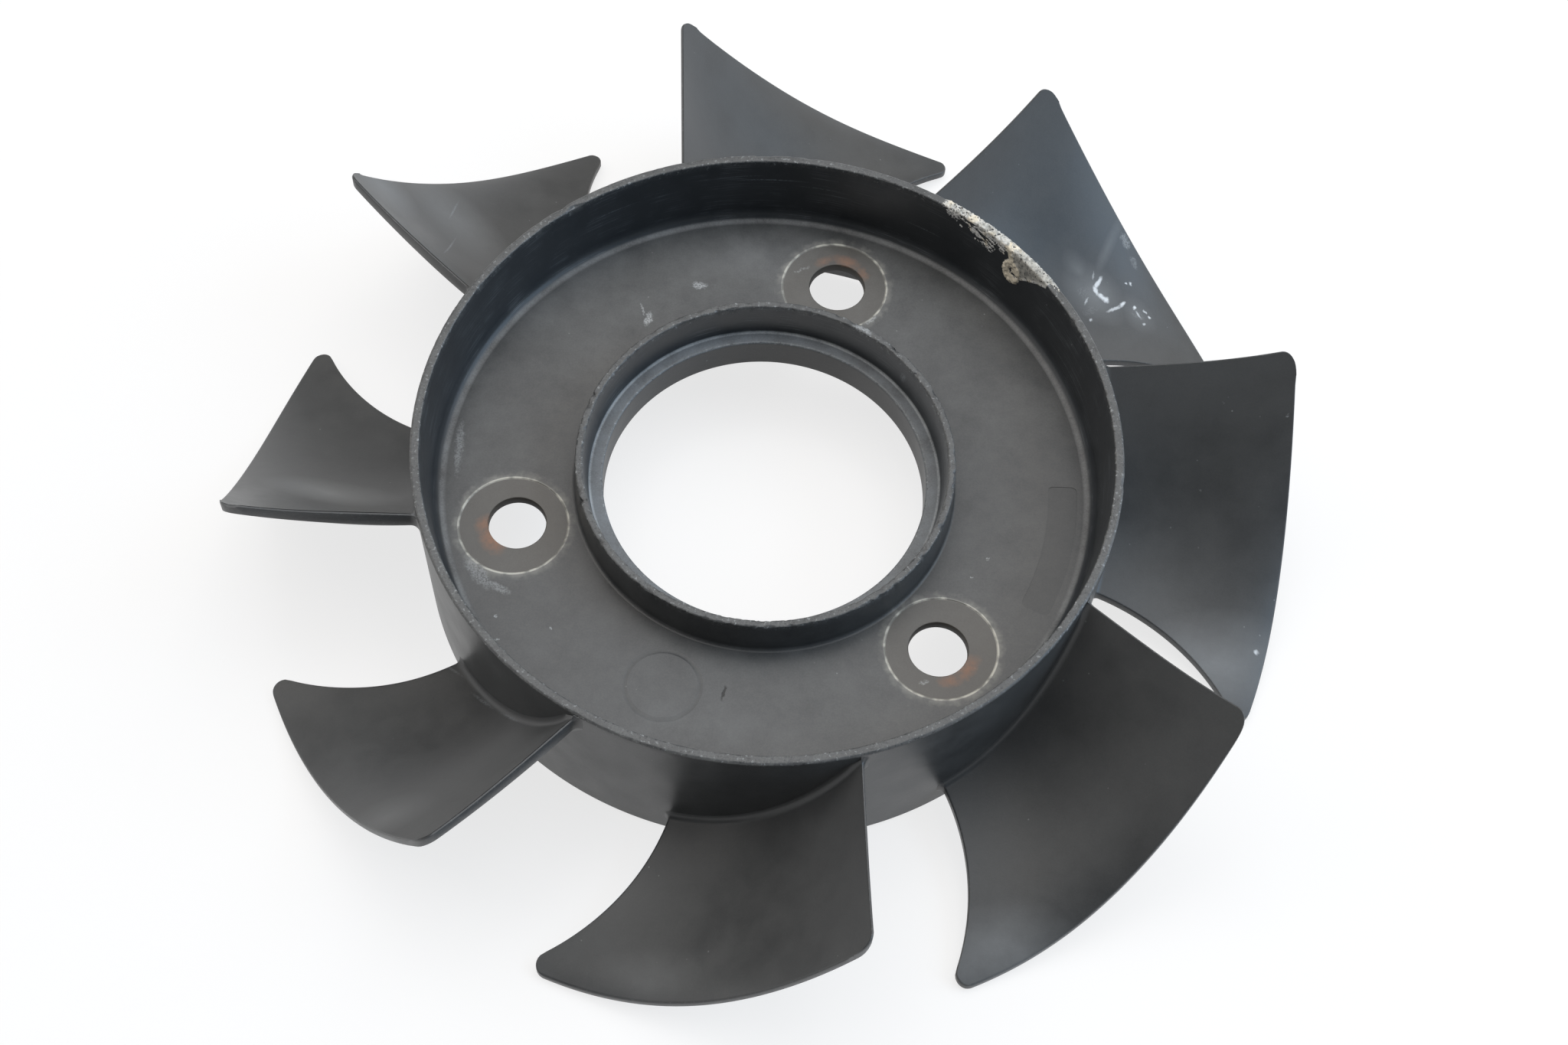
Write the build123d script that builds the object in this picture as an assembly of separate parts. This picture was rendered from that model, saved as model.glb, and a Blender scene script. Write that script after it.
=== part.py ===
from build123d import *
import os
from math import cos, hypot, radians, sin

# Axial fan impeller, moulded in one piece: a short drum with a web across it, a collar and
# a pilot bore in the middle, three bolt holes, and eight twisted, hollow-faced blades.
# Millimetres, +Z along the fan's axis. The origin is on the axis, on the web's lower face,
# which is the face that seats against the flange.

# Drum: the outer wall, a little narrower and thinner at its foot so that it leaves the mould
rim_radius = 60.0
drum_height = 32.1
drum_draft = 0.25
drum_wall = 1.6
foot_wall = 1.1

# Web: the floor across the drum, with its rim wall thickened towards it
web_thickness = 2.0
web_depth = 14.3              # from the rim's top down to the web's upper face
wall_swell = 1.2              # how much thicker the drum's wall is where it meets the web
web_fillet = 1.5

# Collar above the web, ledge inside it, and the pilot bore, which ends below the web
pilot_radius = 28.0
ledge_width = 2.4
ledge_rise = 1.1              # from the web's upper face up to the ledge
collar_wall = 1.3             # at the collar's top
collar_height = 7.65
collar_flare = 0.85           # how far the collar's bore opens from the ledge to its top
collar_draft = 0.3            # how much wider the collar stands at its foot, outside
spigot_wall = 1.8
spigot_depth = 3.1
collar_fillet = 0.6
edge_break = 0.3              # bevel on the drum's and the collar's free edges
rim_spare = 3.0               # the rim is made this much too high, and cut down once the blades are on

# Bolt holes in the web
bolt_count = 3
bolt_circle = 86.8
bolt_hole_radius = 5.0
first_bolt_angle = 75.1

# Blades. Angles in plan are measured from each blade's own axis.
blade_count = 8
first_blade_angle = -4.0
blade_advance = {0: 0.3, 1: 1.0, 2: 0.2, 4: 0.2}   # degrees that four blades stand ahead of the even step
blade_reach = 31.4            # from the drum's wall out to the blades' tips
front_root_angle = 22.1
front_tip_angle = 17.2
rear_root_angle = -7.7
rear_tip_angle = -18.8
rear_hollow = 4.2             # how deep the rear edge is cut in from its straight line
front_corner = 2.8            # rounding of the tip's two corners, in plan
rear_corner = 1.4
root_thickness = 1.9
tip_thickness = 1.6
root_bevel = 0.6              # all round the blades' roots

# Blade sections from root to tip, evenly spaced along the blade's axis: how far the front
# line lies below the rim, how far the rear line lies above the drum's foot, how hollow the
# section is as a share of its chord, and how far the hollow leans towards the rear.
skin_steps = 5                # stretches of the curve between the front and the rear line
front_drop = (2.1, 1.5, -0.4, -4.9)
rear_rise = (7.2, 4.1, 1.6, -2.2)
hollow = (0.07, 0.148, 0.134, 0.149)
lean = (0.17, 0.12, 0.08, 0.29)

# Levels and radii that follow from the sizes above
web_top = web_thickness
rim_top = web_top + web_depth
foot = rim_top - drum_height
tip_radius = rim_radius + blade_reach
inner_radius = rim_radius - drum_wall
bite_radius = rim_radius - drum_wall / 2 - drum_draft / 2   # inside the drum's wall at every height


def polar(radius, angle):
    """Point in plan at a radius and an angle in degrees."""
    return (radius * cos(radians(angle)), radius * sin(radians(angle)))


def corner_of(face, across, up):
    """The corner of a flat face that is nearest to a point in its plane."""
    return min(face.vertices(), key=lambda v: hypot(v.X - across, v.Y - up))


def drum():
    """Drum, web, collar and spigot, turned from one profile, with the rim still too high."""
    foot_radius = rim_radius - drum_draft
    spare_radius = rim_radius + drum_draft * rim_spare / drum_height
    root_radius = inner_radius - wall_swell
    ledge = web_top + ledge_rise
    collar_foot = pilot_radius + ledge_width
    collar_bore = collar_foot + collar_flare
    collar_outside = collar_bore + collar_wall
    collar_top = web_top + collar_height
    spigot_radius = pilot_radius + spigot_wall
    bevelled = [
        (foot_radius, foot, edge_break),
        (foot_radius - foot_wall, foot, edge_break),
        (root_radius, 0, web_fillet),
        (spigot_radius, 0, collar_fillet),
        (spigot_radius, -spigot_depth, edge_break),
        (pilot_radius, -spigot_depth, edge_break),
        (pilot_radius, ledge, edge_break),
        (collar_foot, ledge, edge_break),
        (collar_bore, collar_top, edge_break),
        (collar_outside, collar_top, edge_break),
    ]
    rounded = [(collar_outside + collar_draft, web_top, collar_fillet), (root_radius, web_top, web_fillet)]
    spare_rim = [(inner_radius, rim_top + rim_spare), (spare_radius, rim_top + rim_spare)]
    corners = [(radius, height) for radius, height, _ in bevelled + rounded]
    profile = make_face(Polyline(*corners, *spare_rim, close=True))
    for radius, height, size in bevelled:
        profile = chamfer(corner_of(profile, radius, height), size)
    for radius, height, size in rounded:
        profile = fillet(corner_of(profile, radius, height), size)
    return revolve(Plane.XZ * profile, Axis.Z)


def rim_cut():
    """What comes off above the rim: flat over the wall, bevelled at its edges, flared clear of the blades."""
    outline = Polyline(
        (inner_radius - rim_spare, rim_top - edge_break - rim_spare),
        (inner_radius + edge_break, rim_top),
        (rim_radius - edge_break, rim_top),
        (rim_radius, rim_top - edge_break),
        (rim_radius + rim_spare, rim_top - edge_break + rim_spare / 2),
        (rim_radius + rim_spare, rim_top + 2 * rim_spare),
        (inner_radius - rim_spare, rim_top + 2 * rim_spare),
        close=True,
    )
    return revolve(Plane.XZ * make_face(outline), Axis.Z)


def bolt_holes():
    """The three bolt holes, as one cutter through the web."""
    hole = Cylinder(bolt_hole_radius, 3 * web_thickness)
    ring = PolarLocations(bolt_circle / 2, bolt_count, start_angle=first_bolt_angle)
    return [spot * Pos(0, 0, web_thickness / 2) * hole for spot in ring]


def blade_plan():
    """The blade seen along the fan's axis: a straight front edge, the tip's arc and a hollow rear edge."""
    front_root = polar(bite_radius, front_root_angle)
    front_tip = polar(tip_radius, front_tip_angle)
    rear_tip = polar(tip_radius, rear_tip_angle)
    rear_root = polar(bite_radius, rear_root_angle)
    outline = [
        Line(front_root, front_tip),
        ThreePointArc(front_tip, (tip_radius, 0), rear_tip),
        SagittaArc(rear_tip, rear_root, -rear_hollow),
        ThreePointArc(rear_root, (bite_radius, 0), front_root),
    ]
    plan = make_face(outline)
    for corner, rounding in ((front_tip, front_corner), (rear_tip, rear_corner)):
        plan = fillet(corner_of(plan, *corner), rounding)
    return plan


def on_line(start, end, x):
    """Y on the straight line through two points in plan, at a given X."""
    return start[1] + (end[1] - start[1]) * (x - start[0]) / (end[0] - start[0])


def blade_section(share, x, drop, rise, depth, bias):
    """Cross-section of the blade's slab in the plane X = x: a hollow plate of even thickness."""
    front_y = on_line(polar(rim_radius, front_root_angle), polar(tip_radius, front_tip_angle), x)
    rear_y = on_line(polar(rim_radius, rear_root_angle), polar(tip_radius, rear_tip_angle), x)
    front = Vector(front_y, rim_top - drop)
    chord = Vector(rear_y, foot + rise) - front
    down = Vector(-chord.Y, chord.X)
    thickness = root_thickness + (tip_thickness - root_thickness) * share

    def skin(side):
        points = []
        for step in range(-1, skin_steps + 2):
            s = step / skin_steps
            sag = 4 * depth * s * (1 - s) * (1 + bias * (s - 0.5))
            slope = 4 * depth * ((1 - 2 * s) * (1 + bias * (s - 0.5)) + s * (1 - s) * bias)
            across = (down - chord * slope).normalized()
            points.append(front + chord * s + down * sag + across * (side * thickness / 2))
        return Spline(points)

    upper, lower = skin(-1), skin(1)
    ends = [Line(upper @ 1, lower @ 1), Line(lower @ 0, upper @ 0)]
    plane = Plane(origin=(x, 0, 0), x_dir=(0, 1, 0), z_dir=(1, 0, 0))
    return plane * make_face([upper, lower, *ends])


def blade():
    """One blade: a slab lofted through its sections and trimmed to the plan outline."""
    first = bite_radius * cos(radians(front_root_angle)) - root_thickness
    last = tip_radius + tip_thickness
    table = list(zip(front_drop, rear_rise, hollow, lean))
    sections = []
    for number, row in enumerate(table):
        share = number / (len(table) - 1)
        sections.append(blade_section(share, first + (last - first) * share, *row))
    slab = loft(sections)
    trim = extrude(Pos(0, 0, foot - drum_height) * blade_plan(), 3 * drum_height)
    return slab & trim


def blade_angles():
    """Where each blade's axis points."""
    step = 360 / blade_count
    return [first_blade_angle + step * n + blade_advance.get(n, 0) for n in range(blade_count)]


def runs_on_wall(edge):
    """Whether an edge lies on the drum's outer wall, which is where the blades' roots run."""
    for point in (edge @ 0.5, edge @ 1):
        wall_radius = rim_radius - drum_draft * (rim_top - point.Z) / drum_height
        if abs(hypot(point.X, point.Y) - wall_radius) > edge_break / 10:
            return False
    return foot + 2 * edge_break < (edge @ 0.5).Z < rim_top + rim_spare / 2


impeller = drum() - bolt_holes()
impeller += [Rot(0, 0, angle) * blade() for angle in blade_angles()]
roots = impeller.edges().filter_by(GeomType.LINE, reverse=True).filter_by(runs_on_wall)
impeller = chamfer(roots, root_bevel)
impeller -= rim_cut()

os.makedirs("parts", exist_ok=True)
export_step(impeller, "parts/impeller.step")
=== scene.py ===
import math
from functools import partial

import bmesh
import bpy
import numpy as np
from mathutils import Matrix, Vector, noise


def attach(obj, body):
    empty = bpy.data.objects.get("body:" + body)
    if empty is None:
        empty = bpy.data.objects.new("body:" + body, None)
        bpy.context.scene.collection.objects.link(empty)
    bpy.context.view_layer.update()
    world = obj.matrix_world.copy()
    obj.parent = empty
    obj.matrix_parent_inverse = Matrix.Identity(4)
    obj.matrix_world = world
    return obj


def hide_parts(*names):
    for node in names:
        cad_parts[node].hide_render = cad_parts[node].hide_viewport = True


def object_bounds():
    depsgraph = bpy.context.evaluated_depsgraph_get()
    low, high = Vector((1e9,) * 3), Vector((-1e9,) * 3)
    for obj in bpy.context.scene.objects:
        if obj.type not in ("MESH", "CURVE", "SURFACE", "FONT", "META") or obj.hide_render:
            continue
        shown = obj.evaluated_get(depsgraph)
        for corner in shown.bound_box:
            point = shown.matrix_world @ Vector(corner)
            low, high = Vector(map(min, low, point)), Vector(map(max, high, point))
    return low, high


# Axial fan impeller, a used moulding of black glass-filled nylon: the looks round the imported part.
# The dictionaries hold millimetres and degrees, in the part's own frame; Blender gets metres.
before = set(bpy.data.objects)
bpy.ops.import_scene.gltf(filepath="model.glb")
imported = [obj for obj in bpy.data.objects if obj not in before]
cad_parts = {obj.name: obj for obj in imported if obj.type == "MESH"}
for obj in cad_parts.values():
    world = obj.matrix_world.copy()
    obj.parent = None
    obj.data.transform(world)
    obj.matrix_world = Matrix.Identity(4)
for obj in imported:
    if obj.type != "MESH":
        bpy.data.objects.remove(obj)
cadLow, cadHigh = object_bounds()
mm = 0.001
print("frame loaded:", sorted(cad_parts))


# Small tools that everything below uses

def polar(radius, degrees):
    angle = math.radians(degrees)
    return np.array([radius * math.cos(angle), radius * math.sin(angle)])


def linear(hexColour):
    # sRGB hex to the linear colour that Blender's sockets take
    channels = [int(hexColour[i:i + 2], 16) / 255 for i in (1, 3, 5)]
    return [c / 12.92 if c <= 0.04045 else ((c + 0.055) / 1.055) ** 2.4 for c in channels] + [1.0]


def addObject(name, data):
    # a new object in the scene, round a mesh, camera or lamp
    piece = bpy.data.objects.new(name, data)
    bpy.context.scene.collection.objects.link(piece)
    return piece


def meshObject(name, vertices, faces):
    # vertices in millimetres
    mesh = bpy.data.meshes.new(name)
    mesh.from_pydata((np.asarray(vertices, float) * mm).tolist(), [], faces)
    mesh.update()
    return addObject(name, mesh)


def smooth(mesh, sharpAngle):
    # smooth shading, with real corners kept crisp
    mesh.polygons.foreach_set("use_smooth", [True] * len(mesh.polygons))
    mesh.set_sharp_from_angle(angle=math.radians(sharpAngle))


def cleanUp(piece, sharpAngle):
    # outward normals and no doubled points
    work = bmesh.new()
    work.from_mesh(piece.data)
    bmesh.ops.remove_doubles(work, verts=work.verts, dist=0.002 * mm)
    bmesh.ops.dissolve_degenerate(work, edges=work.edges, dist=0.001 * mm)
    bmesh.ops.recalc_face_normals(work, faces=work.faces)
    work.to_mesh(piece.data)
    work.free()
    smooth(piece.data, sharpAngle)


def roundCorner(before, corner, after, radius, steps):
    # points on the arc that rounds a corner, from the side of "before" to the side of "after"
    back, ahead = before - corner, after - corner
    back = back / np.hypot(*back)
    ahead = ahead / np.hypot(*ahead)
    half = math.acos(max(-1.0, min(1.0, float(back @ ahead)))) / 2
    trim = radius / math.tan(half)
    start, end = corner + back * trim, corner + ahead * trim
    middle = back + ahead
    centre = corner + middle / np.hypot(*middle) * radius / math.sin(half)
    first = math.atan2(*(start - centre)[::-1])
    turn = (math.atan2(*(end - centre)[::-1]) - first + math.pi) % (2 * math.pi) - math.pi
    angles = first + turn * np.linspace(0, 1, steps + 1)
    return centre + radius * np.stack([np.cos(angles), np.sin(angles)], 1)


def turned(profile, segments):
    # vertices and quads of a closed profile of (radius, height) points turned round the axis
    angles = np.arange(segments) * 2 * math.pi / segments
    radius, height = profile[:, 0], profile[:, 1]
    x, y = np.cos(angles)[:, None] * radius, np.sin(angles)[:, None] * radius
    vertices = np.stack([x, y, np.broadcast_to(height, x.shape)], 2).reshape(-1, 3)
    count = len(profile)
    faces = []
    for i in range(segments):
        here, there = i * count, (i + 1) % segments * count
        for j in range(count):
            k = (j + 1) % count
            faces.append((here + j, there + j, there + k, here + k))
    return vertices, faces


# Drum, web, collar and spigot

drum = {
    "rimRadius": 60.0, "rimTop": 16.3, "wall": 1.6, "rimRounding": 0.45,
    "foot": -15.8, "draft": 0.25, "footWall": 1.1, "edgeRounding": 0.3,
    "webTop": 2.0, "wallSwell": 1.2, "webFillet": 1.5, "innerFillet": 2.1, "segments": 530,
}
collar = {
    "pilotRadius": 28.0, "ledgeWidth": 2.4, "ledgeTop": 3.1, "flare": 0.85, "wall": 1.3,
    "top": 9.65, "draft": 0.3, "fillet": 0.6, "spigotWall": 1.8, "spigotDepth": 3.1,
}
boltHoles = {
    "count": 3, "circleRadius": 43.4, "firstAngle": 75.1, "radius": 5.0, "lip": 0.15,
    "printRadius": 9.45, "printDepth": 0.1, "printShifts": ((-0.5, 0.0), (-0.57, -0.53), (0.47, 0.13)),
    "segments": 96,
}
barePad = {"inner": 49.2, "outer": 54.2, "from": -25.6, "to": 2.4, "corner": 1.0, "depth": 0.07}
ringMark = {"centre": (-14.7, -40.5), "radius": 6.3, "width": 0.42, "depth": 0.09}
rimRadius, rimTop, webTop = drum["rimRadius"], drum["rimTop"], drum["webTop"]
innerRadius = rimRadius - drum["wall"]
rootRadius = innerRadius - drum["wallSwell"]
footRadius = rimRadius - drum["draft"]
ledgeRadius = collar["pilotRadius"] + collar["ledgeWidth"]
collarBore = ledgeRadius + collar["flare"]
collarOutside = collarBore + collar["wall"]
collarFoot = collarOutside + collar["draft"]
spigotRadius = collar["pilotRadius"] + collar["spigotWall"]


def wallRadius(height):
    # the drum's outer wall draws in a little towards its foot
    share = (rimTop - height) / (rimTop - drum["foot"])
    return rimRadius - drum["draft"] * share


def hubProfile():
    # corners of the turned section: radius, height, rounding, steps in the rounding
    edge, rim = drum["edgeRounding"], drum["rimRounding"]
    corners = [
        (rimRadius, rimTop, rim, 6),
        (footRadius, drum["foot"], edge, 3),
        (footRadius - drum["footWall"], drum["foot"], edge, 3),
        (rootRadius, 0, drum["webFillet"], 5),
        (spigotRadius, 0, collar["fillet"], 3),
        (spigotRadius, -collar["spigotDepth"], edge, 3),
        (collar["pilotRadius"], -collar["spigotDepth"], edge, 3),
        (collar["pilotRadius"], collar["ledgeTop"], edge, 4),
        (ledgeRadius, collar["ledgeTop"], edge, 3),
        (collarBore, collar["top"], edge, 5),
        (collarOutside, collar["top"], edge, 5),
        (collarFoot, webTop, collar["fillet"], 4),
        (rootRadius, webTop, drum["innerFillet"], 7),
        (innerRadius, rimTop, edge, 5),
    ]
    points = []
    for i, (radius, height, rounding, steps) in enumerate(corners):
        before = np.array(corners[i - 1][:2], float)
        after = np.array(corners[(i + 1) % len(corners)][:2], float)
        points.append(roundCorner(before, np.array([radius, height], float), after, rounding, steps))
    profile = []
    for arc, following in zip(points, points[1:] + points[:1]):
        run = following[0] - arc[-1]
        length = np.hypot(*run)
        guard = min(0.2, length / 4)     # a short step beside each rounding keeps the flats' shading flat
        stops = [guard, length - guard]
        if abs(run[1]) > 5:
            stops[1:1] = [1.3, length - 1.3]        # knocks in the edges don't reach down the tall walls
        profile += list(arc)
        profile += [arc[-1] + run * distance / length for distance in stops]
    return np.array(profile)


def holeCentre(n):
    return polar(boltHoles["circleRadius"], boltHoles["firstAngle"] + 360 * n / boltHoles["count"])


def printCentre(n):
    # where the washer sat round bolt hole n: not quite centred on it
    return holeCentre(n) + boltHoles["printShifts"][n]


def turnedCutter(name, profile, x, y):
    vertices, faces = turned(np.array(profile, float), boltHoles["segments"])
    cutter = meshObject(name, vertices + [x, y, 0], faces)
    cleanUp(cutter, 30)
    return cutter


def webCutters():
    # bolt holes with softened lips, washer prints, the plain ring mark and the bare sunk pad;
    # their sides cross the web's faces at a slant, so that none ends on a face
    radius, lip, edge = boltHoles["radius"], boltHoles["lip"], boltHoles["printRadius"]
    bed = webTop - boltHoles["printDepth"]
    clear, below = bed + 0.5, -1.0
    wide, near, slant = radius + 1.7 * lip, radius + 0.3 * lip, 0.3 * lip
    hole = [(0, below), (wide, below), (wide, -slant), (near, slant), (radius, lip), (radius, bed - lip),
            (near, bed - slant), (wide, bed + slant), (wide, clear), (0, clear)]
    above = webTop + 1.0
    washer = [(0, bed), (edge - 0.12, bed), (edge + 0.04, webTop + 0.03), (edge + 0.04, above), (0, above)]
    groove, half, depth = ringMark["radius"], 1.1 * ringMark["width"], ringMark["depth"]
    brow, above = webTop + 0.1 * depth, webTop + 0.5
    ring = [(groove - half, above), (groove - half, brow), (groove, webTop - depth), (groove + half, brow),
            (groove + half, above)]
    cutters = [turnedCutter("ringMarkCutter", ring, *ringMark["centre"])]
    for n in range(boltHoles["count"]):
        cutters.append(turnedCutter(f"washerCutter{n}", washer, *printCentre(n)))
        cutters.append(turnedCutter(f"holeCutter{n}", hole, *holeCentre(n)))
    corner = barePad["corner"]
    turnIn = math.degrees(corner / barePad["outer"])
    start, end = barePad["from"] + turnIn, barePad["to"] - turnIn
    outline = []
    for radius, inward, first, last, heading in ((barePad["outer"], -1, start, end, -90),
                                                 (barePad["inner"], 1, end, start, 90)):
        reach = radius + inward * corner
        outline += [polar(reach, first) + polar(corner, first + heading + 15 * step) for step in range(7)]
        outline += [polar(radius, first + (last - first) * share) for share in np.linspace(0, 1, 26)[1:-1]]
        outline += [polar(reach, last) + polar(corner, last + heading + 90 + 15 * step) for step in range(7)]
    count = len(outline)
    vertices = [(x, y, z) for z in (webTop - barePad["depth"], above) for x, y in outline]
    faces = [tuple(range(count)), tuple(range(count, 2 * count))]
    faces += [(i, (i + 1) % count, count + (i + 1) % count, count + i) for i in range(count)]
    pad = meshObject("padCutter", vertices, faces)
    cleanUp(pad, 30)
    return cutters + [pad]


def takeAway(piece, cutters):
    for cutter in cutters:
        cut = piece.modifiers.new(cutter.name, "BOOLEAN")
        cut.operation = "DIFFERENCE"
        cut.solver = "EXACT"
        cut.object = cutter
    evaluated = piece.evaluated_get(bpy.context.evaluated_depsgraph_get())
    piece.data = bpy.data.meshes.new_from_object(evaluated)
    piece.modifiers.clear()
    for cutter in cutters:
        bpy.data.objects.remove(cutter)


# Knocks in the free edges, on the outer (1) and the inner corner (-1): angle, half width and depth
rimKnocks = {
    1: [(130.6, 1.2, 0.3), (106.3, 1.0, 0.25), (93.1, 2.5, 0.22), (85.2, 1.6, 0.25), (355.3, 0.9, 0.3),
        (331.0, 0.6, 0.2), (243.0, 0.8, 0.2), (205.0, 0.6, 0.2)],
    -1: [(128.8, 2.2, 0.45), (136.2, 0.8, 0.2), (147.2, 0.7, 0.35), (151.9, 0.9, 0.4), (158.5, 0.5, 0.2),
         (72.0, 1.2, 0.2), (27.9, 0.7, 0.3), (22.4, 0.6, 0.35), (12.9, 0.5, 0.25), (357.5, 0.5, 0.25),
         (349.0, 0.5, 0.2), (262.0, 0.5, 0.15)],
}
collarKnocks = {
    1: [(164.0, 0.9, 0.3), (160.5, 0.6, 0.35), (171.0, 0.5, 0.25), (194.9, 0.6, 0.4), (199.1, 0.6, 0.35),
        (214.7, 0.6, 0.25), (5.4, 0.5, 0.3), (358.8, 0.5, 0.35), (353.6, 0.9, 0.3), (338.9, 0.6, 0.3),
        (327.7, 0.7, 0.3), (314.2, 0.6, 0.25), (47.7, 1.7, 0.5), (64.0, 1.4, 0.3), (78.0, 1.0, 0.2),
        (98.0, 0.9, 0.25), (115.0, 1.4, 0.25), (131.0, 0.8, 0.3)],
    -1: [(203.0, 0.8, 0.3), (50.5, 0.8, 0.35)],
}
freeEdges = (
    # height, inner and outer radius, knocks, roughness, depth of the small bites, how worn its flat is
    (rimTop, innerRadius, rimRadius, rimKnocks, 0.06, 0.16, 0.45),
    (collar["top"], collarBore, collarOutside, collarKnocks, 0.13, 0.5, 0.5),
)


def wearEdges(piece):
    # pushes the rim's and the collar's free edges in at the knocks, with a fine general roughness
    reachDown, reachAside, fade = 1.2, 0.6, 0.35
    for vertex in piece.data.vertices:
        x, y, z = (value / mm for value in vertex.co)
        radius = math.hypot(x, y)
        for top, inside, outside, knocks, roughness, bites, _ in freeEdges:
            if z < top - reachDown or not inside - reachAside < radius < outside + reachAside:
                continue
            degrees = math.degrees(math.atan2(y, x))
            outward = 1 if radius > (inside + outside) / 2 else -1
            corner = outside if outward > 0 else inside
            near = math.exp(-((radius - corner) ** 2 + (z - top) ** 2) / fade)
            level = math.exp(-((z - top) / fade) ** 2)
            fleck = noise.fractal(Vector((x, y, z)) * 1.7, 0.6, 2.0, 3)
            nibble = max(0.0, noise.noise(Vector((x * 1.1, y * 1.1, z * 1.1 + 40 * outward))) - 0.28)
            push = roughness * max(0.0, fleck + 0.25) * near + bites * nibble * near
            sink = roughness * 0.8 * abs(fleck) * level + bites * 0.6 * nibble * near
            for angle, half, depth in knocks[outward]:
                off = abs((degrees - angle + 180) % 360 - 180) * math.radians(radius)
                if off < 2 * half:
                    bite = math.exp(-(off / half) ** 2 * 2) * (0.75 + 0.5 * fleck)
                    push += depth * bite * near
                    sink += depth * 0.7 * bite * near
            scale = 1 - outward * push / radius
            vertex.co = Vector((x * scale, y * scale, z - sink)) * mm


zoneNames = ("web", "innerWall", "wornEdge", "ledge", "grimeAndUnderShade", "sunkPad", "crease", "bladeSpan")


def zone(mesh, name, values):
    attribute = mesh.attributes.new(name, "FLOAT", "POINT")
    attribute.data.foreach_set("value", np.asarray(values, np.float32))


def between(values, low, high):
    return (values > low) & (values < high)


def paintHub(piece):
    # zones that the material reads, from 0 to 1, in the order of zoneNames
    mesh = piece.data
    place = np.empty(len(mesh.vertices) * 3)
    mesh.vertices.foreach_get("co", place)
    x, y, height = place.reshape(-1, 3).T / mm
    radius = np.hypot(x, y)
    ledgeTop, pilot = collar["ledgeTop"], collar["pilotRadius"]
    turnUp = rootRadius - drum["innerFillet"]       # where the web turns up into the wall
    web = between(height, webTop - 0.5, webTop + 0.4) & between(radius, collarFoot - 0.5, turnUp + 0.2)
    # inner walls of the drum and the collar: painted darker there as shade
    wall = 1.0 * ((height > webTop + 0.3) & between(radius, turnUp, innerRadius + 0.05))
    wall += 0.95 * (between(height, ledgeTop + 0.3, collar["top"] - 0.2)
                    & between(radius, ledgeRadius - 0.1, collarBore + 0.05))
    ledge = (abs(height - ledgeTop) < 0.25) & (radius < ledgeRadius + 0.2)
    bore = (height < ledgeTop - 0.2) & (radius < pilot + 0.05)
    # under the web, between the spigot and the drum's wall, the dark is painted shade; the bore and the bolt
    # holes are darkened as grime
    hidden = (height < -0.2) & between(radius, spigotRadius - 0.1, rootRadius + 0.6)
    grimeAndUnderShade = 0.3 * bore + 0.6 * hidden
    sunk = 1.0 * (web & (height < webTop - 0.5 * barePad["depth"]))
    for n in range(boltHoles["count"]):
        holeX, holeY = holeCentre(n)
        away = np.hypot(x - holeX, y - holeY)
        inHole = (away < boltHoles["radius"] + 0.5 * boltHoles["lip"]) & (abs(height - 1) < 1.2)
        grimeAndUnderShade = np.maximum(grimeAndUnderShade, inHole)
        sunk *= away > boltHoles["printRadius"] + 2
    edge = 0.6 * ((abs(radius - pilot) < 0.35) & (height > ledgeTop - 0.3))
    for top, inside, outside, *_, flatWear in freeEdges:
        for corner in (inside, outside):
            edge = np.maximum(edge, np.exp(-((radius - corner) ** 2 + (height - top) ** 2) / 0.16))
        flat = (height > top - 0.6) & between(radius, inside - 0.3, outside + 0.3)
        edge = np.maximum(edge, flatWear * flat)
    # pale lines in the ledge's corner and at the foot of the web's fillet: dust, partly a painted highlight
    # line
    crease = 1.0 * (between(radius, ledgeRadius - 0.35, ledgeRadius + 0.1)
                    & between(height, ledgeTop - 0.05, ledgeTop + 0.35))
    crease += 0.4 * (between(height, webTop + 0.02, webTop + 0.3) & between(radius, turnUp, rootRadius))
    for name, values in zip(zoneNames, (web, wall, edge, ledge, grimeAndUnderShade, sunk, crease, 0.0 * radius)):
        zone(mesh, name, values)


def flattenWeb(piece):
    # the web's faces are truly flat, so they are shaded flat and the cuts leave no smears on them
    for polygon in piece.data.polygons:
        if abs(polygon.normal.z) > 0.9999 and abs(polygon.center.z) < (webTop + 0.5) * mm:
            polygon.use_smooth = False


hub = meshObject("hub", *turned(hubProfile(), drum["segments"]))
cleanUp(hub, 40)
takeAway(hub, webCutters())
wearEdges(hub)
paintHub(hub)
print("hub turned:", len(hub.data.polygons), "faces")


# Blades: twisted plates, hollow towards the front, with a straight front and a hollow rear edge

blades = {
    "count": 8, "firstAngle": -4.0, "advance": {0: 0.3, 1: 1.0, 2: 0.2, 4: 0.2}, "tipRadius": 91.4,
    "frontShift": (0.13, -0.35, -0.34, -0.06, 0.48, 0.14, -0.19, 0.24),   # each blade's own warp, degrees
    "frontRoot": 22.1, "frontTip": 17.2, "rearRoot": -7.7, "rearTip": -18.8, "rearHollow": 4.2,
    "frontCorner": 2.8, "rearCorner": 2.0, "edgeRounding": 0.28, "rootFillet": 1.2,
    "frontDrop": (2.1, 1.5, -0.4, -4.9), "rearRise": (7.2, 4.1, 1.6, -2.2),
    "hollow": (0.07, 0.148, 0.134, 0.149), "lean": (0.17, 0.12, 0.08, 0.29), "thickness": (1.9, 1.6),
    "acrossSteps": 34, "alongSteps": 30, "cornerRows": 9, "arcSteps": 3,
}
biteRadius = rimRadius - drum["wall"] / 2 - drum["draft"] / 2


def throughFour(values, share):
    # the cubic through four values at even steps from 0 to 1
    knots = np.arange(4) / 3
    total = 0
    for i in range(4):
        term = values[i]
        for j in range(4):
            if j != i:
                term = term * (share - knots[j]) / (knots[i] - knots[j])
        total = total + term
    return total


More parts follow.
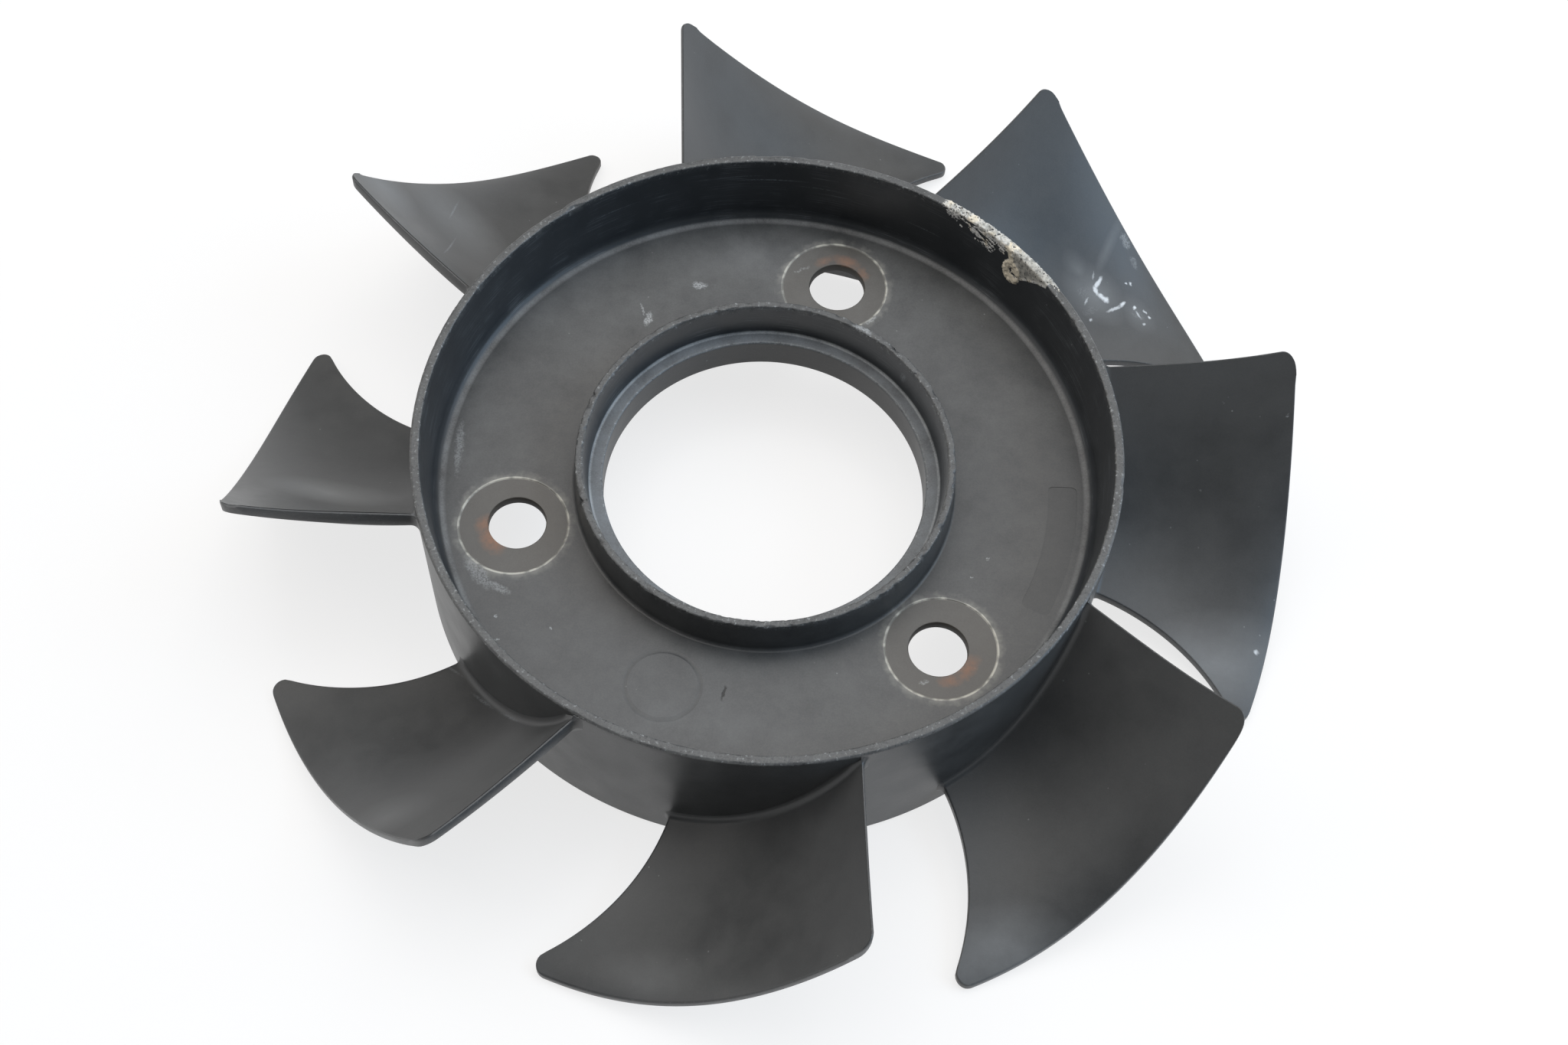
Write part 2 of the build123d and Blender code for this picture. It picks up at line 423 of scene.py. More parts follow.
def skinHeight(x, y, side):
    # height of the blade's face over a point in plan: side is -1 for the upper face and 1 for the lower
    thick, thin = blades["thickness"]
    first = biteRadius * math.cos(math.radians(blades["frontRoot"])) - thick
    last = blades["tipRadius"] + thin
    share = (x - first) / (last - first)
    drop, rise, hollow, lean = (throughFour(blades[key], share)[:, None]
                                for key in ("frontDrop", "rearRise", "hollow", "lean"))
    lines = []
    for root, tip in (("frontRoot", "frontTip"), ("rearRoot", "rearTip")):
        near, far = polar(rimRadius, blades[root]), polar(blades["tipRadius"], blades[tip])
        lines.append((near[1] + (far[1] - near[1]) * (x - near[0]) / (far[0] - near[0]))[:, None])
    front, rear = lines
    frontZ, rearZ = rimTop - drop, drum["foot"] + rise
    chordY, chordZ = rear - front, rearZ - frontZ
    s = np.linspace(-0.25, 1.25, 61)        # from front to rear, and on past both edges
    bend = 1 + lean * (s - 0.5)
    sag = 4 * hollow * s * (1 - s) * bend
    slope = 4 * hollow * ((1 - 2 * s) * bend + s * (1 - s) * lean)
    normalY, normalZ = -chordZ - chordY * slope, chordY - chordZ * slope
    size = np.hypot(normalY, normalZ)
    half = side * (thick + (thin - thick) * share[:, None]) / 2
    acrossY = front + chordY * s - chordZ * sag + normalY / size * half
    acrossZ = frontZ + chordZ * s + chordY * sag + normalZ / size * half
    heights = np.empty(len(x))
    for i in range(len(x)):
        order = acrossY[i].argsort()
        heights[i] = np.interp(y[i], acrossY[i][order], acrossZ[i][order])
    return heights


def circlesMeet(centreA, radiusA, centreB, radiusB, near):
    # where two circles cross, nearest to a given point
    gap = centreB - centreA
    distance = np.hypot(*gap)
    along = (radiusA ** 2 - radiusB ** 2 + distance ** 2) / (2 * distance)
    off = math.sqrt(max(0.0, radiusA ** 2 - along ** 2))
    unit = gap / distance
    side = np.array([-unit[1], unit[0]])
    found = [centreA + unit * along + side * off, centreA + unit * along - side * off]
    return min(found, key=lambda point: np.hypot(*(point - near)))


def bladeOutline(frontExtra):
    # a function that gives the angles of the front and the rear edge at a radius, corners rounded
    origin = np.zeros(2)
    tip = blades["tipRadius"]
    frontRoot = polar(biteRadius, blades["frontRoot"] + frontExtra)
    frontTip = polar(tip, blades["frontTip"] + frontExtra)
    along = (frontTip - frontRoot) / np.hypot(*(frontTip - frontRoot))
    outward = np.array([-along[1], along[0]])
    reach = float(outward @ frontRoot)
    rearRoot, rearTip = polar(biteRadius, blades["rearRoot"]), polar(tip, blades["rearTip"])
    chord = rearTip - rearRoot
    length = np.hypot(*chord)
    rearRadius = (length ** 2 / 4 + blades["rearHollow"] ** 2) / (2 * blades["rearHollow"])
    inward = np.array([-chord[1], chord[0]]) / length
    rearCentre = (rearRoot + rearTip) / 2 + inward * (blades["rearHollow"] - rearRadius)
    size = blades["frontCorner"]
    offset = math.sqrt((tip - size) ** 2 - (reach - size) ** 2)
    frontCentre = outward * (reach - size) + along * offset
    frontTouch = np.hypot(*(frontCentre + outward * size))
    small = blades["rearCorner"]
    cornerCentre = circlesMeet(origin, tip - small, rearCentre, rearRadius + small, rearTip)
    rearTouch = np.hypot(*(cornerCentre + (rearCentre - cornerCentre) * small / (rearRadius + small)))

    def edges(radius):
        if radius <= frontTouch:
            front = outward * reach + along * math.sqrt(radius ** 2 - reach ** 2)
        else:
            front = circlesMeet(origin, radius, frontCentre, size, frontTip)
        if radius <= rearTouch:
            rear = circlesMeet(origin, radius, rearCentre, rearRadius, rearTip)
        else:
            rear = circlesMeet(origin, radius, cornerCentre, small, rearTip)
        return math.atan2(front[1], front[0]), math.atan2(rear[1], rear[0])

    return edges


def sectionLoop(radius, edges):
    # closed loop of the blade cut by a cylinder: (distance round the cylinder, height), corners rounded
    front, rear = edges(radius)
    width = radius * (front - rear)
    rounding = blades["edgeRounding"]
    inset = min(1.5 * rounding, width / 4)
    loop = []
    for side in (-1, 1):
        travel = np.concatenate([[0, inset], np.linspace(inset, width - inset, blades["acrossSteps"])[1:-1],
                                 [width - inset, width]])
        angle = front - travel / radius
        height = skinHeight(radius * np.cos(angle), radius * np.sin(angle), side)
        loop.append(np.stack([travel, height], 1))
    upper, lower = loop[0], loop[1][::-1]
    corners = ((lower[-1], upper[0], upper[1]), (upper[-2], upper[-1], lower[0]),
               (upper[-1], lower[0], lower[1]), (lower[-2], lower[-1], upper[0]))
    arcs = [roundCorner(*corner, rounding, blades["arcSteps"]) for corner in corners]
    points = np.concatenate([arcs[0], upper[1:-1], arcs[1], arcs[2], lower[1:-1], arcs[3]])
    size, flat = len(arcs[0]), len(upper) - 2
    rim = [1.0] * size + [0.0] * flat + [1.0] * (2 * size) + [0.0] * flat + [1.0] * size
    return front, points, rim


def unitRows(steps):
    return steps / np.maximum(np.hypot(*steps.T), 1e-9)[:, None]


def loopNormals(points):
    # normals that point out of a closed loop
    ahead, back = np.roll(points, -1, 0) - points, points - np.roll(points, 1, 0)
    tangent = unitRows(unitRows(ahead) + unitRows(back))
    normal = np.stack([tangent[:, 1], -tangent[:, 0]], 1)
    return -normal if (points[:, 0] * ahead[:, 1] - points[:, 1] * ahead[:, 0]).sum() < 0 else normal


def bladeMesh(frontExtra):
    # rows of loops from inside the drum's wall to the tip, flared at the root and rounded all round
    edges = bladeOutline(frontExtra)
    tip, rounding, fillet = blades["tipRadius"], blades["edgeRounding"], blades["rootFillet"]
    rim, cornerSize = rimRadius, blades["frontCorner"]
    root = np.array([biteRadius, rim - 0.3])
    flare = rim + fillet * (1 - np.cos(np.radians(np.linspace(0, 90, 7)))) - 0.02
    middle = np.linspace(rim + fillet, tip - cornerSize, blades["alongSteps"])[1:]
    corner = np.linspace(1, 0, blades["cornerRows"] + 1)[1:] ** 2
    corner = tip - rounding - (cornerSize - rounding) * corner
    rows = [(radius, 0.0) for radius in np.concatenate([root, flare, middle, corner])]
    for turn in np.radians(np.linspace(0, 90, blades["arcSteps"] + 1)[1:]):
        rows.append((tip - rounding * (1 - math.sin(turn)), rounding * (1 - math.cos(turn))))
    vertices, worn = [], []
    for radius, inset in rows:
        front, points, rubbed = sectionLoop(min(radius, tip - 0.001), edges)
        worn += [max(share, float(inset > 0)) * float(radius > rim + fillet) for share in rubbed]
        normal = loopNormals(points)
        clear = np.clip(radius - wallRadius(points[:, 1]), 0, fillet)
        grow = fillet - np.sqrt(fillet ** 2 - (fillet - clear) ** 2)
        points = points + normal * (grow - inset)[:, None]
        angle = front - points[:, 0] / radius
        ceiling = rimTop - drum["rimRounding"] + max(0.0, radius - rim) / 2
        height = np.minimum(points[:, 1], ceiling) if radius < rim + 2 * fillet else points[:, 1]
        height = np.minimum(height, cadHigh.z / mm - 0.005)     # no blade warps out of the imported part's box
        vertices.append(np.stack([radius * np.cos(angle), radius * np.sin(angle), height], 1))
    count = len(vertices[0])
    faces = []
    for i in range(len(rows) - 1):
        for j in range(count):
            k = (j + 1) % count
            faces.append((i * count + j, i * count + k, (i + 1) * count + k, (i + 1) * count + j))
    for base in (0, (len(rows) - 1) * count):
        for j in range(count // 2 - 1):
            faces.append((base + j, base + j + 1, base + count - 2 - j, base + count - 1 - j))
    return np.concatenate(vertices), faces, worn


def turnAbout(vertices, degrees):
    c, s = math.cos(math.radians(degrees)), math.sin(math.radians(degrees))
    x, y, z = np.asarray(vertices).T
    return np.stack([x * c - y * s, x * s + y * c, z], 1)


bladeVertices, bladeFaces, bladeWorn = [], [], []
offset = 0
for n in range(blades["count"]):
    degrees = blades["firstAngle"] + 360 * n / blades["count"] + blades["advance"].get(n, 0)
    vertices, faces, worn = bladeMesh(blades["frontShift"][n])
    bladeVertices.append(turnAbout(vertices, degrees))
    bladeFaces += [tuple(index + offset for index in face) for face in faces]
    bladeWorn += worn
    offset += len(vertices)
bladeVertices = np.concatenate(bladeVertices)
bladeSet = meshObject("bladeSet", bladeVertices, bladeFaces)
bladeReach = np.hypot(*bladeVertices.T[:2]) - rimRadius
bladeZones = {name: np.zeros(offset) for name in zoneNames}
bladeZones["wornEdge"] = 0.12 * np.array(bladeWorn)
bladeZones["bladeSpan"] = np.clip(bladeReach / (blades["tipRadius"] - rimRadius), 0.02, 1)
for name, values in bladeZones.items():
    zone(bladeSet.data, name, values)
cleanUp(bladeSet, 40)
print("blades made:", len(bladeSet.data.polygons), "faces")


# One moulding: hub and blades in a single mesh

work = bmesh.new()
work.from_mesh(hub.data)
work.from_mesh(bladeSet.data)
moulding = addObject("fanMoulding", bpy.data.meshes.new("fanMoulding"))
work.to_mesh(moulding.data)
work.free()
for piece in (hub, bladeSet):
    bpy.data.objects.remove(piece)
smooth(moulding.data, 40)
flattenWeb(moulding)


# A smear of dried sealant on the rim, with a drip down the inner wall

smear = {
    # places are (along the rim, down the inner wall); a streak has its start, end and half width,
    # an oval its centre and half sizes
    "from": 61.0, "to": 33.2, "step": 0.15, "depth": 8.4, "crust": 0.24, "bury": 0.06, "shell": 0.12,
    "topBand": (0.2, 17.2), "outerBand": (16.0, 27.6), "neck": ((15.0, -0.8), (18.1, 4.6), 0.8),
    "streaks": (((2.6, 0.6), (11.6, 3.0), 1.2), ((6.0, 0.5), (14.6, 1.4), 0.9),
                ((12.0, 0.2), (16.4, 0.8), 0.9)),
    "blob": ((17.2, 4.6), (2.35, 2.8)), "blobLip": 0.14,
    "hollows": (((18.0, 5.0), (1.9, 0.62)), ((16.8, 4.3), (0.6, 1.0))),
    "film": ((16.2, 6.9), (18.0, 6.3), (20.6, 3.9), (23.0, 2.2), (25.4, 0.9)),
}


def rimSection():
    # points, normals and running length across the rim's top and down its inner wall
    rim, edge, top = drum["rimRounding"], drum["edgeRounding"], rimTop
    points, normals = [], []

    def arc(centre, size, start, end):
        for turn in np.radians(np.linspace(start, end, 5)):
            normals.append((math.cos(turn), math.sin(turn)))
            points.append((centre + size * math.cos(turn), top - size + size * math.sin(turn)))

    arc(rimRadius - rim, rim, 25, 90)
    for radius in np.arange(rimRadius - rim - 0.15, innerRadius + edge, -0.15):
        points.append((radius, top))
        normals.append((0.0, 1.0))
    arc(innerRadius + edge, edge, 90, 175)
    for down in np.arange(edge + 0.15, smear["depth"], 0.16):
        points.append((innerRadius - down * drum["wallSwell"] / (top - webTop), top - down))
        normals.append((-1.0, 0.0))
    points = np.array(points)
    run = np.concatenate([[0], np.cumsum(np.hypot(*np.diff(points, axis=0).T))])
    cornerIndex = int(np.argmin(np.hypot(points[:, 0] - innerRadius, points[:, 1] - top)))
    return points, np.array(normals), run - run[cornerIndex]


def nearLine(along, down, start, end):
    # distance from a point to a stretch, both as (along the rim, down the wall)
    step = (end[0] - start[0], end[1] - start[1])
    share = ((along - start[0]) * step[0] + (down - start[1]) * step[1]) / (step[0] ** 2 + step[1] ** 2)
    share = min(1.0, max(0.0, share))
    return math.hypot(along - start[0] - share * step[0], down - start[1] - share * step[1])


def ovalReach(along, down, oval):
    # 0 at an oval's centre and 1 on its edge
    (across, deep), (width, length) = oval
    return math.hypot((along - across) / width, (down - deep) / length)


def smearCover(along, down, ragged):
    # how thick the smear lies at a place on the rim, and how far it is thin film or drip
    start, end = smear["topBand"]
    wide = 0.35 + 0.35 * math.exp(-((along - 11) / 5) ** 2)      # hangs over the inner edge in its middle
    crust = min((along - start) / 1.2, (end - along) / 1.2, (wide - down) / 0.35, 1.0)
    start, end = smear["outerBand"]
    crust = max(crust, min((along - start) / 1.2, (end - along) / 2.5, (-0.6 - down) / 0.4, 0.9))
    strand = noise.noise(Vector((along * 0.45, (down - 0.2 * along) * 2.6, 5.5)))
    for start, end, half in smear["streaks"]:       # dry strokes with gaps between
        crust = max(crust, 0.95 - nearLine(along, down, start, end) / half * 0.8 - 3.2 * max(0.0, strand))
    start, end, half = smear["neck"]
    drip = 1.3 - 1.3 * nearLine(along, down, start, end) / half
    drip = max(drip, min(1.0, (1 - ovalReach(along, down, smear["blob"])) * 4))
    hollow = max(1 - ovalReach(along, down, oval) for oval in smear["hollows"])
    line = smear["film"]
    film, border = -1.0, 0.0
    for (a, b), (c, d) in zip(line, line[1:]):
        if a <= along <= c:
            limit = b + (d - b) * (along - a) / (c - a)
            film = min((limit - down) / 0.3, (along - line[0][0]) / 0.5, (down + 0.9) / 0.4, 0.35)
            border = math.exp(-((limit - 0.35 - down) / 0.35) ** 2)
            film += 0.3 * border if film > 0 else 0
    crust -= 0.75 * ragged
    drip -= 0.35 * ragged + max(0.0, 3.5 * hollow - 2.2 * ragged)
    film -= 0.12 * ragged + max(0.0, 1.5 * hollow)
    thin = float(film > max(crust, drip)) * (1 - 0.8 * border)
    if crust > 0 and down < 0 and along > 17.5 and noise.noise(Vector((along, down * 3, 1))) > -0.1:
        thin = max(thin, 0.6)       # the crust on the rim's outer part is partly rubbed thin
    return max(crust, drip, film), thin, float(drip > max(crust, 0.0))


def smearMesh():
    # a sheet over the rim, lifted where the smear covers it, kept only there and given a thickness
    points, normals, run = rimSection()
    step = math.degrees(smear["step"] / innerRadius)
    angles = np.arange(smear["from"], smear["to"], -step)
    work = bmesh.new()
    layers = [work.verts.layers.float.new(name) for name in ("thinFilm", "drip")]
    grid = []
    for i, degrees in enumerate(angles):
        column = []
        for (radius, height), (outward, upward), down in zip(points, normals, run):
            along = i * smear["step"]
            rough = noise.fractal(Vector((along * 1.1, down * 1.6, 3.7)), 0.5, 2.0, 4)
            cover, film, drip = smearCover(along, down, abs(rough) * 1.6)
            lump = noise.noise(Vector((along * 2.3, down * 2.3, 9.1)))
            thick = smear["crust"] * min(1.0, cover) * (0.75 + 0.5 * lump) if cover > 0 else -smear["bury"]
            if drip and cover > 0:
                out = ovalReach(along, down, smear["blob"])
                thick += smear["blobLip"] * math.exp(-((out - 0.74) / 0.22) ** 2) * (1 + lump)
            x, y = polar(radius + outward * thick, degrees)
            vertex = work.verts.new(Vector((x, y, height + upward * thick)) * mm)
            vertex[layers[0]], vertex[layers[1]] = film, drip
            column.append((vertex, cover))
        grid.append(column)
    for left, right in zip(grid, grid[1:]):
        for j in range(len(points) - 1):
            corners = (left[j], right[j], right[j + 1], left[j + 1])
            if max(cover for _, cover in corners) > 0:
                work.faces.new([vertex for vertex, _ in corners])
    bmesh.ops.delete(work, geom=[v for v in work.verts if not v.link_faces], context="VERTS")
    bmesh.ops.recalc_face_normals(work, faces=work.faces)
    middle = work.faces[:][len(work.faces) // 3]
    if middle.normal.dot(middle.calc_center_median()) < 0 and middle.normal.z < 0:
        bmesh.ops.reverse_faces(work, faces=work.faces)
    bmesh.ops.solidify(work, geom=work.faces[:], thickness=smear["shell"] * mm)
    mesh = bpy.data.meshes.new("driedSmear")
    work.to_mesh(mesh)
    work.free()
    mesh.polygons.foreach_set("use_smooth", [True] * len(mesh.polygons))
    return addObject("driedSmear", mesh)


driedCrust = smearMesh()
print("smear laid:", len(driedCrust.data.polygons), "faces")


# Materials

def addNode(tree, kind, sockets=(), output=0, **settings):
    # one node with its settings and links; gives back one of its outputs
    # a tuple fills the sockets in their order, a dictionary fills them by name or number
    node = tree.nodes.new("ShaderNode" + kind)
    for name, value in settings.items():
        setattr(node, name, value)
    for name, value in sockets.items() if isinstance(sockets, dict) else enumerate(sockets):
        if isinstance(value, bpy.types.NodeSocket):
            tree.links.new(value, node.inputs[name])
        else:
            node.inputs[name].default_value = value
    return node.outputs[output] if node.outputs else node


def newMaterial(name):
    # an empty material, and addNode for its own tree
    material = bpy.data.materials.new(name)
    material.use_nodes = True
    material.node_tree.nodes.clear()
    return material, partial(addNode, material.node_tree)


def markSet(node, place, marks, hardness=0.55):
    # soft-edged patches, the strongest on top
    total = 0.0
    for x, y, z, along, across, deep, heading, strength in marks:
        near = node("Mapping", {0: place, "Location": (x, y, z), "Scale": (along, across, deep),
                    "Rotation": (0, 0, math.radians(heading))}, vector_type="TEXTURE")
        far = node("VectorMath", (near,), output="Value", operation="LENGTH")
        mark = node("MapRange", (far, 1.0, hardness, 0.0, strength))
        total = node("Math", (total, mark), operation="MAXIMUM")
    return total


wearAndShade = {
    # the inner walls' colour is painted shade, and the grime colour also paints the shade under the web
    "bodyDark": "#414243", "bodyLight": "#5d5e5e", "paintedWallShade": "#22272c", "wornEdge": "#858684",
    "dustAndPaintedLight": "#b4b7b8", "packedDust": "#c9c7bd", "scuff": "#e9ecee", "rust": "#a9785a", "warmStain": "#6b6459",
    "scratch": "#9aa0a4", "ledge": "#7d848a", "grimeAndUnderShade": "#1d1a17", "nick": "#141517",
    # patterns: size in millimetres, detail and roughness
    "patterns": {"cloud": (7.0, 5.0, 0.62), "grain": (0.32, 3.0, 0.65), "peel": (2.6, 1.0, 0.5),
                 "wornPatch": (2.2, 3.0, 0.5), "fleck": (0.6, 2.0, 0.5)},
    "scratchLength": 9.0, "scratchGap": 0.14, "speckGap": 3.4, "rag": 1.5, "wobble": 0.8,
    # how much of each shows
    "streaks": 0.4, "bladeCalm": 0.55, "paintedWallShadeShare": 0.77, "bladeDeep": 0.18, "padDeep": 0.22, "rub": 0.8,
    "brightFlecks": 0.7, "pits": 0.9, "specks": 0.6, "printHaze": 0.28, "printWarmth": 0.32,
    "creaseDustAndHighlight": 0.75, "sheen": (0.34, 0.44), "dustySheen": 0.25, "ior": 1.5, "reliefDepth": 0.012,
}
# Marks: centre, half sizes along, across and deep, heading and strength
dustMarks = [
    # on the web and the collar
    (-13.9, 40.6, 2.0, 1.6, 0.9, 1.0, 0, 0.75), (-22.6, 32.6, 2.0, 1.8, 0.8, 1.0, 75, 0.75),
    (-23.8, 34.6, 2.0, 1.6, 0.25, 1.0, 110, 0.5), (-43.5, -29.6, 2.0, 0.35, 0.3, 1.0, 0, 0.7),
    (-42.8, -33.9, 2.0, 0.3, 0.25, 1.0, 0, 0.6), (-34.1, -31.2, 2.0, 0.3, 0.25, 1.0, 0, 0.6),
    (38.8, -12.9, 2.0, 0.35, 0.25, 1.0, 0, 0.7), (36.3, -16.8, 2.0, 0.3, 0.25, 1.0, 0, 0.7),
    (-47.5, -21.5, 2.0, 4.2, 1.6, 1.0, -50, 0.42), (-44.0, -24.0, 2.0, 3.0, 0.9, 1.0, -25, 0.4),
    (-53.6, 3.0, 2.2, 6.5, 0.9, 1.2, 92, 0.35), (15.6, 27.6, 9.6, 2.0, 0.8, 1.0, -28, 0.7),
    (17.6, 35.0, 2.0, 1.5, 0.6, 1.0, 35, 0.6), (4.5, 45.3, 2.0, 2.0, 0.35, 1.0, 30, 0.35),
    (28.4, -37.1, 2.0, 0.9, 0.5, 1.0, 20, 0.55),
    # on the blades
    (58.6, 51.2, -7.8, 2.8, 2.2, 3.0, 20, 0.3), (60.0, 48.8, -8.8, 3.0, 1.3, 3.0, 40, 0.22),
    (65.3, 62.0, -6.2, 1.8, 1.0, 3.0, -60, 0.45), (67.2, 58.5, -7.0, 1.6, 0.8, 3.0, -60, 0.3),
    (68.2, 48.8, -11.3, 2.0, 1.2, 3.0, -30, 0.25), (89.2, 14.1, 10.2, 0.4, 0.3, 1.0, 0, 0.6),
    (78.4, 15.8, 11.2, 0.5, 0.25, 1.0, 20, 0.5), (76.3, 5.2, -1.2, 0.35, 0.3, 1.0, 0, 0.4),
    (87.9, -16.8, -12.5, 0.3, 0.3, 1.0, 0, 0.6),
]
scuffMarks = [
    # crisp white: where something scraped the blades down to pale plastic
    (60.3, 53.1, -7.9, 1.8, 0.45, 2.5, 62, 1.0), (59.9, 51.8, -8.1, 1.08, 0.48, 2.5, 118, 1.0),
    (61.3, 50.8, -8.7, 1.62, 0.59, 2.5, -28, 1.0), (62.0, 50.5, -9.0, 0.72, 0.7, 2.5, 0, 1.0),
    (65.2, 50.3, -10.0, 0.9, 0.45, 2.5, 50, 0.95), (63.6, 49.1, -9.8, 1.92, 0.36, 2.5, 32, 0.7),
    (65.8, 54.3, -9.5, 0.31, 0.28, 2.5, 0, 0.8), (66.7, 54.4, -9.8, 0.36, 0.34, 2.5, 0, 0.9),
    (67.6, 50.1, -10.8, 0.46, 0.48, 2.5, 0, 0.95), (68.3, 48.9, -11.3, 0.96, 0.28, 2.5, -50, 0.6),
    (69.6, 49.7, -11.5, 0.6, 0.28, 2.5, -50, 0.7), (70.5, 48.8, -12.0, 0.38, 0.36, 2.5, 0, 0.85),
    (69.5, 47.2, -12.0, 0.43, 0.34, 2.5, 20, 0.6), (59.2, 46.3, -9.5, 0.34, 0.34, 2.5, 0, 0.6),
    (58.2, 49.6, -8.4, 0.96, 0.25, 2.5, 70, 0.5), (59.4, 54.3, -7.1, 0.96, 0.22, 2.5, 80, 0.35),
    (87.3, -19.8, -13.5, 0.6, 0.56, 2, 0, 0.8),
]
hazeAndSheenMarks = [
    # broad, faint greying where the blades rub and the dust sits; on the blades' outer parts it is partly
    # painted sheen
    (60.0, 51.0, -8.0, 8.5, 5.0, 6.0, -35, 0.6), (56.5, 54.5, -6.0, 5.0, 2.6, 5.0, -45, 0.4),
    (68.0, 49.0, -11.0, 5.0, 3.0, 5.0, -40, 0.35), (62.0, 60.0, -6.0, 9.0, 1.2, 6.0, 68, 0.35),
    (79.5, -22.5, -13.0, 16.0, 10.0, 9.0, 10, 0.62), (43.5, -77.5, -13.6, 13.0, 9.0, 8.0, 20, 0.6),
    (-61.0, 54.5, -2.0, 14.0, 8.0, 10.0, -35, 0.45), (-73.0, 51.5, 11.0, 9.0, 8.0, 8.0, 0, 0.5),
    (-76.0, -6.5, -1.0, 14.0, 6.0, 6.0, 5, 0.55), (-56.0, -68.0, 3.0, 9.0, 7.0, 8.0, 0, 0.3),
    (-14.5, -87.0, -11.0, 13.0, 6.0, 8.0, 0, 0.2), (-4.0, 48.0, 2.0, 18.0, 6.5, 3.0, 5, 0.2),
    (-36.0, 38.0, 2.0, 16.0, 6.0, 3.0, 45, 0.17), (-8.0, -47.0, 2.0, 20.0, 6.0, 3.0, 0, 0.1),
]
scratchMarks = [
    (-1.5, 57.6, 11.6, 7.5, 0.9, 0.22, 0, 0.7), (-6.5, 57.4, 12.6, 4.0, 0.9, 0.14, 3, 0.5),
    (7.0, 57.3, 10.4, 5.0, 0.9, 0.12, -6, 0.5), (-30.0, 49.4, 10.8, 6.0, 1.0, 0.14, 30, 0.4),
    (26.0, 51.3, 8.1, 4.5, 1.2, 0.2, -27, 0.35), (52.6, 22.0, 5.9, 10.0, 1.6, 0.16, -68, 0.4),
    (53.6, 20.5, 7.4, 7.0, 1.6, 0.12, -69, 0.3), (23.3, 20.1, 6.7, 0.25, 0.9, 2.0, 41, 0.6),
    (-61.2, 57.0, -1.5, 4.4, 0.22, 6.0, 84, 0.5), (-60.0, 45.0, 4.4, 6.5, 0.2, 6.0, 85, 0.5),
    (-45.6, -41.0, -6.5, 5.0, 0.4, 2.0, -42, 0.45), (-39.5, -46.3, -2.5, 4.0, 0.35, 3.0, -40, 0.4),
    (-51.5, -34.5, -9.5, 3.5, 0.3, 2.0, -35, 0.35),
]
rustMarks = [
    (-45.8, -14.8, 2.0, 3.8, 2.6, 0.8, 125, 0.75), (-47.6, -11.9, 2.0, 2.4, 1.7, 0.8, 75, 0.6),
    (-46.3, -12.8, 1.0, 1.0, 2.6, 1.2, 0, 0.7), (8.6, 47.6, 2.0, 2.4, 1.2, 0.8, 35, 0.4),
    (12.7, 47.7, 2.0, 3.2, 1.5, 0.8, -18, 0.55), (15.8, 45.2, 2.0, 2.2, 1.1, 0.8, -60, 0.45),
    (32.8, -36.4, 2.0, 2.8, 1.4, 0.8, 10, 0.5), (35.7, -33.9, 2.0, 3.6, 1.7, 0.8, 55, 0.6),
]
darkMarks = [
    (-4.5, -41.2, 2.0, 1.7, 0.4, 0.5, 80, 1.0), (21.8, 23.9, 9.5, 1.2, 0.7, 1.0, -42, 0.8),
]


